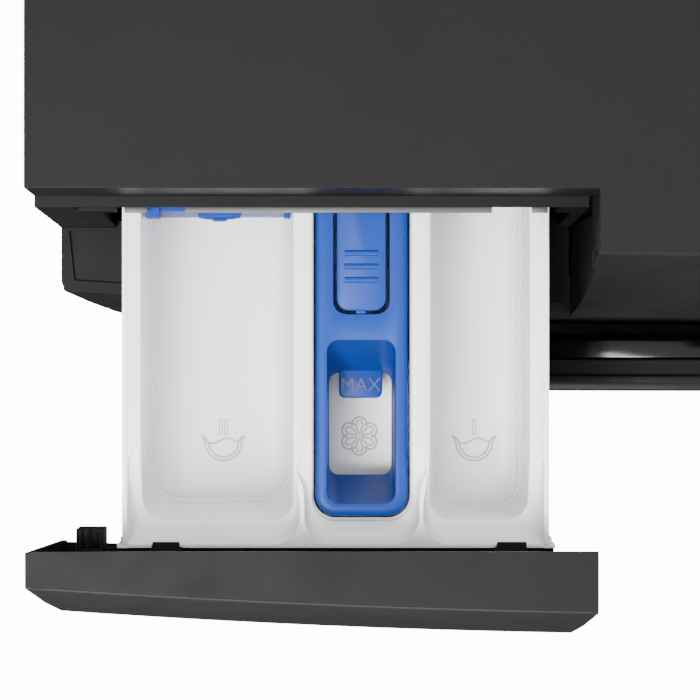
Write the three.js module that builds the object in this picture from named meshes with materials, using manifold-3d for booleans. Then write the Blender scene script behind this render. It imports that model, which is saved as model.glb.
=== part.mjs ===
// Front load washing machine with its detergent drawer pulled out.
// Millimetres, +Z up. Pieces are placed with Y = 0 on the front datum and +Y to the rear;
// the whole machine is centred on its footprint at the end.
import * as THREE from "three";
import { mergeVertices } from "three/addons/utils/BufferGeometryUtils.js";
import Module from "manifold-3d";

const wasm = await Module();
wasm.setup();

// ---- driving dimensions ---------------------------------------------------------------
const gap = 0.3; // clearance between neighbouring pieces
const halfWidth = 300;
const height = 850;
const worktopThickness = 28;
const worktopUnderside = height - worktopThickness;
const rearPanelY = 545;
const sheet = 1.2; // steel sheet of the side panels
const skin = 3; // moulded front pieces
const bowRate = 1.175e-4; // the front is bowed in plan: set-back = bowRate * x * x

const drumZ = 440; // height of the drum axis
const drumRadius = 240;
const tubRadius = 262;
const tubWall = 4;

const recess = { right: -69.4, rear: 40.8, wallTop: 35.1, wallFoot: 31.1, floor: 740 };
const shelfFront = -7.7; // front edge of the shelf at x = 0
// Face of the control panel at x = 0, from the top down, as [y, z]: it leans forward and is convex.
const fascia = [[15.2, 849.7], [13.7, 848.4], [5.5, 822], [-0.5, 797], [-6, 767], [-9.2, 735]];
const fasciaFoot = 735;

const front = { left: -299.5, right: -69.8, rear: -104.8, topFace: -130.3, footFace: -152.1 };
const drawerBack = -110.5; // rear edge of the drawer front at its foot; only what lies before it is bowed
const tray = { left: -263.7, right: -87.1, front: -105.9, rear: 134, rim: 816, foot: 762 };
const pocketFloor = 766;
const pocketFront = -96;
const pocketRear = 128;
const pocketCorner = 9;
const pockets = { main: [-256.8, -192.7], softener: [-185.6, -143.4], prewash: [-136.5, -94.3] };
const insert = { left: -183.9, right: -145.3, front: -93.4, rear: 126, rim: 812 };
const tab = { left: -175, right: -154.3, front: -7.6, pivotY: 60 };
const gate = { left: -256.3, right: -193.2, y: 31, pivotZ: 808 };

const door = { radius: 238, frontY: -44, backY: -16, window: 166 };
const porthole = 178;
const hinge = { x: -250, y: -14, low: 380, high: 500 };
const hook = { x: 201, y: -19, low: 431, high: 449 };

const pulley = { drum: 150, motor: 14, near: 454, far: 466 };
const motor = { x: 50, z: 112, radius: 52 };
const flap = { left: 170, right: 270, low: 60, high: 140 };
const knob = { x: 30, z: 795, radius: 27 };
const feet = { x: 255, frontY: 45, rearY: 500, radius: 20 };

// ---- materials ------------------------------------------------------------------------
const finish = (color, roughness, metalness = 0, opacity = 1) =>
  new THREE.MeshStandardMaterial({
    color, roughness, metalness, opacity, transparent: opacity < 1,
  });
const graphite = finish(0x434344, 0.45);
const graphiteSteel = finish(0x404142, 0.4, 0.4);
const black = finish(0x0b0b0c, 0.35);
const blackGloss = finish(0x050506, 0.1);
const trayWhite = finish(0xe6e6e8, 0.4);
const insertBlue = finish(0x5b8bd0, 0.4);
const galvanised = finish(0x9a9c9e, 0.45, 0.8);
const stainless = finish(0xb9bbbd, 0.3, 1);
const greyPlastic = finish(0x8d8f90, 0.6);
const rubberGrey = finish(0x55575a, 0.8);
const rubberBlack = finish(0x151515, 0.85);
const concrete = finish(0x77756f, 0.95);
const glass = finish(0x9fb4b8, 0.05, 0, 0.35);
const circuitGreen = finish(0x1f5a35, 0.6);

// ---- shape helpers --------------------------------------------------------------------
const bow = (x) => bowRate * x * x;

function polygon(points) {
  return new THREE.Shape(points.map(([a, b]) => new THREE.Vector2(a, b)));
}

function rectangle(a0, a1, b0, b1, r = 0, segments = 5) {
  if (!r) return polygon([[a0, b0], [a1, b0], [a1, b1], [a0, b1]]);
  const corners = [[a1 - r, b0 + r, -90], [a1 - r, b1 - r, 0], [a0 + r, b1 - r, 90], [a0 + r, b0 + r, 180]];
  const points = corners.flatMap(([a, b, start]) =>
    Array.from({ length: segments + 1 }, (_, i) => {
      const angle = THREE.MathUtils.degToRad(start + (90 * i) / segments);
      return [a + r * Math.cos(angle), b + r * Math.sin(angle)];
    }),
  );
  return polygon(points);
}

function circle(a, b, r, segments = 32) {
  return polygon(Array.from({ length: segments }, (_, i) => {
    const angle = (2 * Math.PI * i) / segments;
    return [a + r * Math.cos(angle), b + r * Math.sin(angle)];
  }));
}

// Deletes everything but the positions, merges vertices and turns the faces outwards.
function closed(geometry) {
  const bare = new THREE.BufferGeometry();
  bare.setAttribute("position", geometry.getAttribute("position"));
  if (geometry.index) bare.setIndex(geometry.index);
  const merged = mergeVertices(bare, 1e-3);
  const p = merged.attributes.position;
  const index = merged.index.array;
  const [a, b, c] = [new THREE.Vector3(), new THREE.Vector3(), new THREE.Vector3()];
  let volume = 0;
  for (let i = 0; i < index.length; i += 3) {
    a.fromBufferAttribute(p, index[i]);
    b.fromBufferAttribute(p, index[i + 1]);
    c.fromBufferAttribute(p, index[i + 2]);
    volume += a.dot(b.cross(c));
  }
  if (volume < 0)
    for (let i = 0; i < index.length; i += 3)
      [index[i + 1], index[i + 2]] = [index[i + 2], index[i + 1]];
  return merged;
}

function prismZ(shape, z0, z1, steps = 1) {
  const made = new THREE.ExtrudeGeometry(shape, { depth: z1 - z0, bevelEnabled: false, steps });
  return closed(made.translate(0, 0, z0));
}

// A shape drawn in X and Z, extruded along Y.
function prismY(shape, y0, y1) {
  const made = new THREE.ExtrudeGeometry(shape, { depth: y1 - y0, bevelEnabled: false });
  return closed(made.rotateX(Math.PI / 2).translate(0, y1, 0));
}

// A shape drawn in Y and Z, extruded along X.
function prismX(shape, x0, x1, steps = 1) {
  const made = new THREE.ExtrudeGeometry(shape, { depth: x1 - x0, bevelEnabled: false, steps });
  const turn = new THREE.Matrix4().makeBasis(
    new THREE.Vector3(0, 1, 0), new THREE.Vector3(0, 0, 1), new THREE.Vector3(1, 0, 0),
  );
  return closed(made.applyMatrix4(turn).translate(x0, 0, 0));
}

function box(x0, x1, y0, y1, z0, z1) {
  const made = new THREE.BoxGeometry(x1 - x0, y1 - y0, z1 - z0);
  return closed(made.translate((x0 + x1) / 2, (y0 + y1) / 2, (z0 + z1) / 2));
}

// Turned pieces: the profile is a list of [radius, distance along the axis], closed off the axis.
function turned(profile, segments) {
  const loop = profile[0][0] > 0 ? [...profile, profile[0]] : profile;
  return new THREE.LatheGeometry(loop.map(([r, y]) => new THREE.Vector2(r, y)), segments);
}
const turnedY = (profile, x, z, segments = 40) => closed(turned(profile, segments).translate(x, 0, z));
const turnedZ = (profile, x, y, segments = 24) =>
  closed(turned(profile, segments).rotateX(Math.PI / 2).translate(x, y, 0));

function tube(points, radius, steps, sides = 8) {
  const path = new THREE.CatmullRomCurve3(points.map((p) => new THREE.Vector3(...p)));
  return closed(new THREE.ExtrudeGeometry(circle(0, 0, radius, sides), { extrudePath: path, steps }));
}

// Bows a piece in plan: fully where y is below bowed, not at all above straight.
function bowed(geometry, bowedY = Infinity, straightY = Infinity) {
  const p = geometry.attributes.position;
  for (let i = 0; i < p.count; i++) {
    const y = p.getY(i);
    const share = bowedY === Infinity ? 1
      : THREE.MathUtils.clamp((straightY - y) / (straightY - bowedY), 0, 1);
    p.setY(i, y + share * bow(p.getX(i)));
  }
  return geometry;
}

function toSolid(geometry) {
  return new wasm.Manifold(new wasm.Mesh({
    numProp: 3,
    vertProperties: new Float32Array(geometry.attributes.position.array),
    triVerts: new Uint32Array(geometry.index.array),
  }));
}

function toGeometry(solid) {
  const mesh = solid.getMesh();
  const made = new THREE.BufferGeometry();
  made.setAttribute("position", new THREE.BufferAttribute(new Float32Array(mesh.vertProperties), 3));
  made.setIndex(new THREE.BufferAttribute(new Uint32Array(mesh.triVerts), 1));
  return made;
}
const join = (...parts) => toGeometry(parts.map(toSolid).reduce((a, b) => a.add(b)));
const cut = (body, ...tools) => toGeometry(tools.map(toSolid).reduce((a, b) => a.subtract(b), toSolid(body)));

const machine = new THREE.Group();
function piece(name, geometry, material) {
  const mesh = new THREE.Mesh(geometry, material);
  mesh.name = name;
  machine.add(mesh);
}

// ---- cabinet --------------------------------------------------------------------------
const frontArc = (offset, from, to, steps) =>
  Array.from({ length: steps + 1 }, (_, i) => {
    const x = from + ((to - from) * i) / steps;
    return [x, offset + bow(x)];
  });

function worktop() {
  const outline = polygon([
    [-halfWidth, recess.rear],
    [recess.right, recess.rear],
    ...frontArc(fascia[0][0] + skin + gap, recess.right, halfWidth - 0.5, 14),
    [halfWidth, 36],
    [halfWidth, rearPanelY + 3],
    [-halfWidth, rearPanelY + 3],
  ]);
  return prismZ(outline, worktopUnderside, height);
}

// Side panel with a notch at its top front corner and a bracket for the tub spring.
function sidePanel(side, notchRear) {
  const outline = polygon([
    [5.2, 20], [543.2, 20], [543.2, 821.7], [notchRear, 821.7], [notchRear, 734.6], [5.2, 734.6],
  ]);
  const [x0, x1] = side < 0 ? [-halfWidth, -halfWidth + sheet] : [halfWidth - sheet, halfWidth];
  const bracket = side < 0 ? box(x0 + 0.5, -200, 325, 355, 803, 807) : box(200, x1 - 0.5, 325, 355, 803, 807);
  return join(prismX(outline, x0, x1), bracket);
}

function rearPanel() {
  const plate = prismY(rectangle(-298.5, 298.5, 20, 821), 543.5, rearPanelY);
  return cut(
    plate,
    prismY(circle(0, drumZ, 170, 32), 540, 550),
    ...inletPorts().map(([x, z]) => prismY(circle(x, z, 13.6, 20), 540, 550)),
    prismY(circle(glandAt.x, glandAt.z, 10.6, 20), 540, 550),
    prismY(circle(drainAt.x, drainAt.z, 14.6, 20), 540, 550),
  );
}

const inletPorts = () => [[190, 785], [235, 785]];
const glandAt = { x: -230, z: 770 };
const drainAt = { x: -230, z: 640 };

function rearServiceCover() {
  return turnedY([[0, 556], [150, 556], [172, 547.5], [186, 547.5], [186, 545.4], [170.5, 545.4], [149, 554], [0, 554]],
    0, drumZ, 32);
}

function baseFrame() {
  const outline = rectangle(-290, 290, 12, 535, 12);
  for (const [x, y] of footPlaces()) outline.holes.push(circle(x, y, 5.3, 16));
  const plate = prismZ(outline, 24, 36);
  const rails = [-1, 1].map((side) => box(side * 276 - 12, side * 276 + 12, 70, 480, 35, 44));
  return join(plate, ...rails);
}

const footPlaces = () => [-1, 1].flatMap((side) => [[side * feet.x, feet.frontY], [side * feet.x, feet.rearY]]);

const foot = ([x, y]) =>
  turnedZ([[0, 0], [feet.radius - 1, 0], [feet.radius, 2], [feet.radius, 8], [12, 11], [12, 17], [5, 17], [5, 50], [0, 50]], x, y, 16);

// Height of the front panel's face at x = 0: crowned forward towards the middle.
const panelHeights = [[-7.5, 734.6], [-10.5, 640], [-13.2, 520], [-14, 400], [-12.8, 240], [-9.4, 60], [-8.6, 30]];

function frontPanel() {
  const face = panelHeights;
  const back = [...face].reverse().map(([y, z]) => [y + 1.5, z]);
  const profile = [
    ...face, [8, 30], [8, 31.5], [-7.1, 31.5], ...back.slice(1, -1), [-6.2, 733.1], [10, 733.1], [10, 734.6],
  ];
  const sheetPart = bowed(prismX(polygon(profile), -299.5, 299.5, 14), -5, 10);
  const ends = [-1, 1].map((side) => {
    const returnWall = polygon([...face, [-5.7, 30], [-5.7, 734.6]]);
    const [x0, x1] = side < 0 ? [-299.5, -298] : [298, 299.5];
    return bowed(prismX(returnWall, x0, x1));
  });
  return cut(
    join(sheetPart, ...ends),
    box(-301, -298.4, 4.9, 40, 0, 800),
    box(298.4, 301, 4.9, 40, 0, 800),
    prismY(circle(0, drumZ, porthole, 48), -40, 40),
    box(flap.left - 1, flap.right + 1, -30, 7, flap.low - 5, flap.high + 1),
    box(192, 212, -30, 0, 424, 456),
  );
}

// The surround of the drawer: a shelf below it and the leaning wall that the tray slides through.
function drawerSurround() {
  const wall = polygon([
    [recess.wallFoot, 736], [recess.wallTop, 819.6], [recess.wallTop, 821.7], [46, 821.7], [46, 819.6],
    [recess.wallTop + skin, 819.6], [recess.wallFoot + skin, 736],
  ]);
  const wallPart = prismX(wall, -299.9, recess.right - 1.1);
  const corner = 5;
  const edge = frontArc(shelfFront, -299.9 + corner, recess.right - 1.1, 8);
  const arc = Array.from({ length: 5 }, (_, i) => {
    const angle = THREE.MathUtils.degToRad(180 + (90 * i) / 5);
    return [-299.9 + corner + corner * Math.cos(angle), edge[0][1] + corner + corner * Math.sin(angle)];
  });
  const outer = [[-299.9, 34], ...arc, ...edge, [recess.right - 1.1, 34]];
  const floor = prismZ(polygon(outer), fasciaFoot, 739.2);
  const sunk = prismZ(polygon([
    [-296.4, 30], ...frontArc(shelfFront + 5, -294, recess.right - 4, 8), [recess.right - 4, 30],
  ]), 737.4, 745);
  return cut(
    join(wallPart, cut(floor, sunk)),
    box(-274.5, -76, 20, 60, 742, 800),
    box(-268, -82.5, 20, 60, 799, 819.5),
    box(-284.6, -267, 20, 60, 805.6, 819.5),
  );
}

// Y of the control panel's face at a height, at x = 0.
function fasciaY(z) {
  const below = fascia.findIndex(([, height]) => height <= z);
  const [y0, z0] = fascia[below];
  const [y1, z1] = fascia[below - 1];
  return y0 + ((y1 - y0) * (z - z0)) / (z1 - z0);
}

// Sets a piece turned about Y on the face of the control panel, leaning back with it.
function onFascia(geometry, [x, z]) {
  const y = fasciaY(z) + bow(x);
  return geometry.rotateX(-fasciaLean).translate(x, y, z);
}
const fasciaLean = THREE.MathUtils.degToRad(12);
const buttonPlaces = [[262, 795], [172, 754]];
const buttonRadii = [13, 7];

function controlPanel() {
  const right = 299.9;
  const inside = [...fascia].reverse().map(([y, z]) => [y + skin, z]);
  const profile = [
    ...fascia, [3, fasciaFoot], [3, fasciaFoot + 2], [fascia.at(-1)[0] + skin, fasciaFoot + 2], ...inside.slice(1),
  ];
  const shell = bowed(prismX(polygon(profile), recess.right, right, 14));
  const wallRear = recess.wallFoot - gap;
  const leftWall = bowed(prismX(
    polygon([...fascia.slice(2), [wallRear, fasciaFoot], [wallRear, 821.7], [8, 821.7]]),
    recess.right, recess.right + skin,
  ));
  const rightWall = prismX(polygon([
    [bow(300) - 8, fasciaFoot], [24, fasciaFoot], [24, 821.7], [bow(300) + 7, 821.7], [bow(300) - 4, 767],
  ]), right - skin, right);
  const buttonHoles = buttonPlaces.map((place, i) =>
    onFascia(turned([[0, -20], [buttonRadii[i] + 0.4, -20], [buttonRadii[i] + 0.4, 20], [0, 20]], 24), place));
  return cut(
    join(shell, leftWall, rightWall),
    closed(onFascia(turned([[0, -20], [9, -20], [9, 20], [0, 20]], 20), [knob.x, knob.z])),
    box(110, 236, -30, 60, 772, 818),
    ...buttonHoles.map(closed),
  );
}

function displayWindow() {
  const heights = [817, 797, 773];
  const face = heights.map((z) => [fasciaY(z) + 0.6, z]);
  const back = [...face].reverse().map(([y, z]) => [y + 2.6, z]);
  return bowed(prismX(polygon([...face, ...back]), 111, 235, 6));
}

const controlBoard = () => join(box(100, 290, 26.5, 28.5, 745, 815), box(115, 230, 17.5, 27, 775, 812));

// ---- detergent drawer -----------------------------------------------------------------
function drawerFront() {
  const top = height;
  const foot = recess.floor + 0.4;
  const face = [
    [front.topFace + 1.6, top], [front.topFace, top - 1.6], [-135.5, 824.6], [-142.4, 793.3], [front.footFace, foot + 1.5], [front.footFace + 1.2, foot],
  ];
  const inner = [[-148.3, foot + skin], [-139.3, 793.3], [-132.4, 824.6], [front.topFace + 3, top - skin]];
  const shellProfile = [
    [front.rear, top], ...face, [drawerBack, foot], [drawerBack, foot + skin], ...inner, [front.rear, top - skin],
  ];
  const shell = bowed(prismX(polygon(shellProfile), front.left, front.right, 12), -118, drawerBack);
  const endOutline = polygon([...face, [drawerBack, foot], [-109.8, foot], [-103.4, top - 1], [-103.4, top]]);
  const leftEnd = bowed(prismX(endOutline, front.left, front.left + 2.4), -118, drawerBack);
  const rightEnd = bowed(prismX(polygon([...face, [drawerBack, foot], [front.rear, top]]), front.right - 2.4, front.right), -118, drawerBack);
  return join(shell, leftEnd, rightEnd);
}

function drawerInnerFrame() {
  const plate = join(box(-272.5, -78.5, -110.2, -106.6, 745, 798.5), box(-266.5, -84, -110.2, -106.6, 790, 811));
  const clips = [[-249, -239], [-109.5, -98]].map(([x0, x1]) =>
    join(box(x0, x1, -110.2, -101, 816.5, 818.9), box(x0, x1, -110.2, -106.6, 800, 818.9)));
  const arm = box(-283, -262, -110.2, -106.6, 807, 811);
  const fins = [0, 1, 2].map((i) => box(-283 + 4.5 * i, -281 + 4.5 * i, -107, -98.2, 807, 818.9));
  const spine = box(-283, -272, -103.5, -101.5, 807, 817);
  return join(plate, ...clips, arm, ...fins, spine, box(-283, -272, -110.2, -106.6, 807, 818.9));
}

function drawerTray() {
  const body = prismZ(rectangle(tray.left, tray.right, tray.front + 2, tray.rear, 3), tray.foot, tray.rim);
  const flange = box(-265.8, -84.4, tray.front, tray.front + 2.4, 775, tray.rim);
  const hollow = Object.values(pockets).map(([x0, x1]) =>
    prismZ(rectangle(x0, x1, pocketFront, pocketRear, pocketCorner), pocketFloor, 900));
  const outlets = Object.values(pockets).map(([x0, x1]) => box(x0 + 10, x1 - 10, 120, 140, pocketFloor, 780));
  const scoops = Object.values(pockets).map(([x0, x1]) =>
    prismX(polygon([[-71, 817], [-101, 817], [-101, 806]]), x0 - 3, x1 + 3));
  return cut(join(body, flange), ...hollow, ...outlets, ...scoops);
}

function softenerInsert() {
  const cover = prismZ(rectangle(insert.left, insert.right, insert.front, insert.rear, pocketCorner), 797, insert.rim);
  const funnel = prismZ(rectangle(-182, -148, -84, -27, 4), 780, 798);
  return cut(
    join(cover, funnel),
    prismZ(rectangle(-178.9, -150.5, -88, -20, 4), 803, 900),
    prismZ(rectangle(-178.7, -151.2, -78.1, -33.6, 4), 700, 804),
    prismZ(rectangle(-176.4, -152.9, -9, 118, 5.5), 700, 900),
  );
}

function releaseTab() {
  const plate = prismZ(rectangle(tab.left, tab.right, tab.front, tab.pivotY + 3, 4.2), 806.5, 811.4);
  const ribs = [0, 1, 2].map((i) => box(-171.6, -157.8, 15.5 - 5.4 * i, 17.5 - 5.4 * i, 811, insert.rim + 0.6));
  return join(plate, ...ribs);
}

function detergentGate() {
  const leaf = box(gate.left + 1.3, gate.right - 1.3, gate.y, gate.y + 2, 769, gate.pivotZ + 3);
  const ears = [box(-255, -249, gate.y - 1, gate.y + 4, gate.pivotZ - 4, gate.pivotZ + 5),
    box(-197, -194.5, gate.y - 1, gate.y + 4, gate.pivotZ - 4, gate.pivotZ + 5)];
  return join(leaf, ...ears, box(-232.6, -215.2, gate.y - 4.4, gate.y + 1, gate.pivotZ, gate.pivotZ + 4));
}

const housing = { left: -270.5, right: -80.5, near: 46.8, far: 292, foot: 744, top: 816.9 };

function dispenserHousing() {
  return cut(
    box(housing.left, housing.right, housing.near, housing.far, housing.foot, housing.top),
    box(housing.left + 2, housing.right - 2, housing.near - 5, housing.far - 2, housing.foot + 3, 900),
    prismZ(circle(-160, 264, 19, 18), 700, 760),
  );
}

function dispenserCover() {
  const channels = [-225, -165, -115].map((x) => box(x - 10, x + 10, 70, 250, 819.6, 830));
  return cut(box(housing.left, housing.right, housing.near, housing.far, housing.top + gap, 821.6), ...channels);
}

const dispenserHose = () =>
  turnedZ([[19, 692], [24, 692], [24, 704], [22, 708], [24, 714], [22, 720], [24, 726], [22, 732], [24, 743.6], [19, 743.6]], -160, 264, 18);

// ---- door -----------------------------------------------------------------------------
function doorFrame() {
  const ring = turnedY([
    [door.window + 1, -28.3], [236.3, -28.3], [236.3, -36], [door.radius, -36.4], [door.radius, -40],
    [235, -43.2], [228, door.frontY], [190, door.frontY], [172, -41], [door.window + 1, -38],
  ], 0, drumZ, 48);
  return cut(ring, box(221, 250, -38.5, -28.3, 380, 500));
}

const doorInnerRing = () => cut(
  turnedY([[152, door.backY], [232, door.backY], [236, -19], [236, -28], [152, -28]], 0, drumZ, 48),
  box(190, 214, -24.4, -10, 425, 455),
);

const doorCover = () => turnedY([[0, -42], [110, -41], [150, -38.5], [door.window, -36], [door.window, -33],
  [150, -35.5], [110, -38], [0, -39]], 0, drumZ, 48);

const doorGlass = () => turnedY([[0, 74], [100, 73], [124, 66], [136, 50], [146, -8], [151, -14], [151, -24], [146, -24],
  [144, -12], [133, 46], [121, 62], [98, 68.5], [0, 69.5]], 0, drumZ, 32);

function doorHingeLeaf() {
  const knuckles = [[hinge.low, 424.5], [455.5, hinge.high]].map(([z0, z1]) =>
    prismZ(circle(hinge.x, hinge.y, 4, 16), z0, z1));
  const plates = [[hinge.low, 424.5], [455.5, hinge.high]].map(([z0, z1]) => box(hinge.x, -190, -15.7, -13.2, z0, z1));
  return join(...knuckles, ...plates, box(-236, -190, -15.7, -13.2, hinge.low, hinge.high));
}

const doorHinge = () => join(
  prismZ(circle(hinge.x, hinge.y, 4, 16), 425, 455),
  box(hinge.x - 3, hinge.x + 3, hinge.y, -7.6, 425, 455),
);

function doorLatchHook() {
  const arm = box(hook.x - 4, hook.x + 4, hook.y, 10, hook.low, hook.high);
  return join(arm, prismZ(circle(hook.x, hook.y, 4.4, 16), hook.low, hook.high), box(hook.x + 2, hook.x + 7, 6, 10, hook.low, hook.high));
}

const doorLock = () => cut(box(190, 246, 2, 21, 415, 465), box(193, 217, 0, 16, 423, 457));

const doorGasket = () => turnedY([
  [170, -5], [175, -5], [175, 10], [186, 16], [187, 26], [176.5, 34], [175.5, 62], [172, 62], [172.5, 32], [183, 25],
  [182, 18], [170, 12],
], 0, drumZ, 32);

// ---- tub, suspension and drive --------------------------------------------------------
function tubFront() {
  const shell = turnedY([
    [178, 46], [182, 46], [182, 62], [tubRadius + tubWall, 80], [tubRadius + tubWall, 230], [276, 232], [276, 239],
    [tubRadius, 239], [tubRadius, 86], [178, 68],
  ], 0, drumZ, 36);
  return shell;
}

function tubRear() {
  const shell = turnedY([
    [13, 428], [tubRadius, 428], [tubRadius, 239.4], [276, 239.4], [276, 246], [tubRadius + tubWall, 248],
    [tubRadius + tubWall, 434], [60, 434], [40, 446], [13, 446],
  ], 0, drumZ, 36);
  const lugs = [-1, 1].map((side) => box(side * 215 - 14, side * 215 + 14, 330, 350, 606, 640));
  const bore = turnedY([[0, 300], [tubRadius, 300], [tubRadius, 400], [0, 400]], 0, drumZ, 36);
  const heaterHoles = [-25, 25].map((x) => prismY(circle(x, 188, 5, 12), 420, 440));
  return cut(join(shell, ...lugs.map((lug) => cut(lug, bore))), ...heaterHoles);
}

function ringSector(inner, outer, from, to, steps) {
  const at = (r, angle) => [r * Math.cos(angle), drumZ + r * Math.sin(angle)];
  const angles = Array.from({ length: steps + 1 }, (_, i) => THREE.MathUtils.degToRad(from + ((to - from) * i) / steps));
  return polygon([...angles.map((a) => at(outer, a)), ...angles.reverse().map((a) => at(inner, a))]);
}

const frontCounterweight = () => prismY(ringSector(194, 262, 150, 390, 20), 26, 60);
const topCounterweight = () => cut(
  box(-60, 200, 130, 300, 640, 748),
  turnedY([[0, 100], [278, 100], [278, 320], [0, 320]], 0, drumZ, 48),
);

const heater = () => tube([
  [-25, 446, 188], [-25, 380, 188], [-25, 220, 187], [-22, 150, 187], [0, 132, 187], [22, 150, 187], [25, 220, 187],
  [25, 380, 188], [25, 446, 188],
], 4, 26);

function motorBody() {
  const body = turnedY([[0, 300], [40, 300], [motor.radius, 308], [motor.radius, 428], [40, 440], [0, 440]], motor.x, motor.z, 32);
  const lugs = [-1, 1].map((side) => box(motor.x + side * 30 - 6, motor.x + side * 30 + 6, 320, 420, 140, 171));
  return join(body, ...lugs, prismY(circle(motor.x, motor.z, 6, 16), 438, 468));
}

function beltLoop(drumR, motorR) {
  const far = new THREE.Vector2(motor.x, motor.z);
  const near = new THREE.Vector2(0, drumZ);
  const between = far.clone().sub(near);
  const heading = between.angle();
  const spread = Math.acos((drumR - motorR) / between.length());
  const arc = (centre, r, from, to, steps) => Array.from({ length: steps + 1 }, (_, i) => {
    const angle = from + ((to - from) * i) / steps;
    return [centre.x + r * Math.cos(angle), centre.y + r * Math.sin(angle)];
  });
  return [
    ...arc(near, drumR, heading + spread, heading - spread + 2 * Math.PI, 36),
    ...arc(far, motorR, heading - spread, heading + spread, 10),
  ];
}

function driveBelt() {
  const outline = polygon(beltLoop(pulley.drum + 4.2, pulley.motor + 4.2));
  outline.holes.push(polygon(beltLoop(pulley.drum + 0.9, pulley.motor + 0.6)));
  return prismY(outline, pulley.near + 1, pulley.far - 1);
}

const motorPulley = () => turnedY([[6.3, pulley.near - 4], [pulley.motor, pulley.near - 4], [pulley.motor, pulley.far], [6.3, pulley.far]],
  motor.x, motor.z, 20);

const drumPulley = () => turnedY([
  [12.3, 450], [30, 450], [30, 456], [138, 458], [138, pulley.near], [pulley.drum, pulley.near], [pulley.drum, pulley.far],
  [138, pulley.far], [138, 462], [30, 462], [30, 468], [12.3, 468],
], 0, drumZ, 32);

const drumShell = () => turnedY([
  [0, 404], [drumRadius + 2, 404], [drumRadius + 2, 104], [192, 98], [192, 100.5], [drumRadius, 106], [drumRadius, 402], [0, 402],
], 0, drumZ, 40);

function drumPaddle(turn) {
  const section = polygon([[-34, -238.5], [-12, -205], [0, -196], [12, -205], [34, -238.5]].map(([a, b]) =>
    [a, Math.abs(a) > 30 ? -Math.sqrt(236 ** 2 - a * a) : b]));
  const made = prismY(section, 116, 392);
  const spun = made.rotateY(turn).translate(0, 0, drumZ);
  return closed(spun);
}

function drumSpider() {
  const hub = turnedY([[0, 404.4], [46, 404.4], [40, 424], [12, 425], [12, 472], [0, 472]], 0, drumZ, 24);
  const arms = [0, 1, 2].map((i) => {
    const arm = box(-16, 16, 404.4, 414, 20, 228);
    return closed(arm.rotateY((i * 2 * Math.PI) / 3).translate(0, 0, drumZ));
  });
  return join(hub, ...arms);
}

function tubSpring(side) {
  const turns = 6;
  const points = Array.from({ length: turns * 8 + 1 }, (_, i) => {
    const angle = (i * Math.PI) / 4;
    return [side * 215 + 12 * Math.cos(angle), 340 + 12 * Math.sin(angle), 644 + (154 * i) / (turns * 8)];
  });
  return tube(points, 2, turns * 7, 5);
}

function damper(side) {
  const from = new THREE.Vector3(side * 236, 250, 46);
  const to = new THREE.Vector3(side * 196, 250, 226);
  const long = from.distanceTo(to);
  const made = turned([[0, 0], [13, 0], [13, long * 0.62], [7, long * 0.62], [7, long], [0, long]], 16);
  const turn = new THREE.Quaternion().setFromUnitVectors(new THREE.Vector3(0, 1, 0), to.clone().sub(from).normalize());
  return closed(made.applyQuaternion(turn).translate(from.x, from.y, from.z));
}

// ---- water, power and service ---------------------------------------------------------
const drainPump = () => join(
  turnedY([[0, 36], [44, 36], [44, 92], [30, 96], [30, 130], [0, 130]], 220, 100, 24),
  box(150, 214, 60, 84, 70, 98),
);

const drainFilter = () => join(
  turnedY([[0, 12], [34, 12], [34, 20], [30, 22], [30, 35.5], [0, 35.5]], 220, 100, 28),
  box(195, 245, 4, 13, 95, 105),
);

const filterFlap = () => bowed(prismX(polygon([[-9.4, flap.low], [-7.4, flap.low], [-8.9, flap.high], [-10.9, flap.high]]),
  flap.left, flap.right, 6));

const inletValve = () => join(
  box(176, 250, 486, 540, 765, 808),
  ...inletPorts().map(([x, z]) => turnedY([[0, 538], [13, 538], [13, 562], [0, 562]], x, z, 20)),
);

const cordGland = () => turnedY([[0, 528], [10, 528], [10, 545.4], [17, 545.4], [17, 550], [10, 554], [0, 554]],
  glandAt.x, glandAt.z, 20);

const drainOutlet = () => turnedY([[0, 524], [14, 524], [14, 545.4], [19, 545.4], [19, 549], [12, 549], [12, 562], [0, 562]],
  drainAt.x, drainAt.z, 20);

// ---- controls -------------------------------------------------------------------------
const programKnob = () => closed(onFascia(turned([
  [0, -20.5], [knob.radius - 4, -20.5], [knob.radius - 1, -17.5], [knob.radius, -2], [7, -2], [7, 14], [0, 14],
], 36), [knob.x, knob.z]));

function pushButton(i) {
  const r = buttonRadii[i];
  return closed(onFascia(turned([[0, -3], [r - 1, -3], [r, -2], [r, 7], [0, 7]], 24), buttonPlaces[i]));
}

// ---- assembly -------------------------------------------------------------------------
piece("worktop", worktop(), graphite);
piece("left_side_panel", sidePanel(-1, 46.5), graphiteSteel);
piece("right_side_panel", sidePanel(1, 24.5), graphiteSteel);
piece("rear_panel", rearPanel(), galvanised);
piece("rear_service_cover", rearServiceCover(), greyPlastic);
piece("base_frame", baseFrame(), greyPlastic);
piece("front_panel", frontPanel(), graphiteSteel);
piece("drawer_surround", drawerSurround(), graphite);
piece("control_panel", controlPanel(), graphite);
piece("display_window", displayWindow(), blackGloss);
piece("control_board", controlBoard(), circuitGreen);
["front_left", "rear_left", "front_right", "rear_right"].forEach((place, i) =>
  piece("foot_" + place, foot(footPlaces()[i]), rubberBlack));

piece("drawer_front", drawerFront(), graphite);
piece("drawer_inner_frame", drawerInnerFrame(), black);
piece("drawer_tray", drawerTray(), trayWhite);
piece("softener_insert", softenerInsert(), insertBlue);
piece("release_tab", releaseTab(), insertBlue);
piece("detergent_gate", detergentGate(), insertBlue);
piece("dispenser_housing", dispenserHousing(), greyPlastic);
piece("dispenser_cover", dispenserCover(), greyPlastic);
piece("dispenser_hose", dispenserHose(), rubberBlack);

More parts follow.
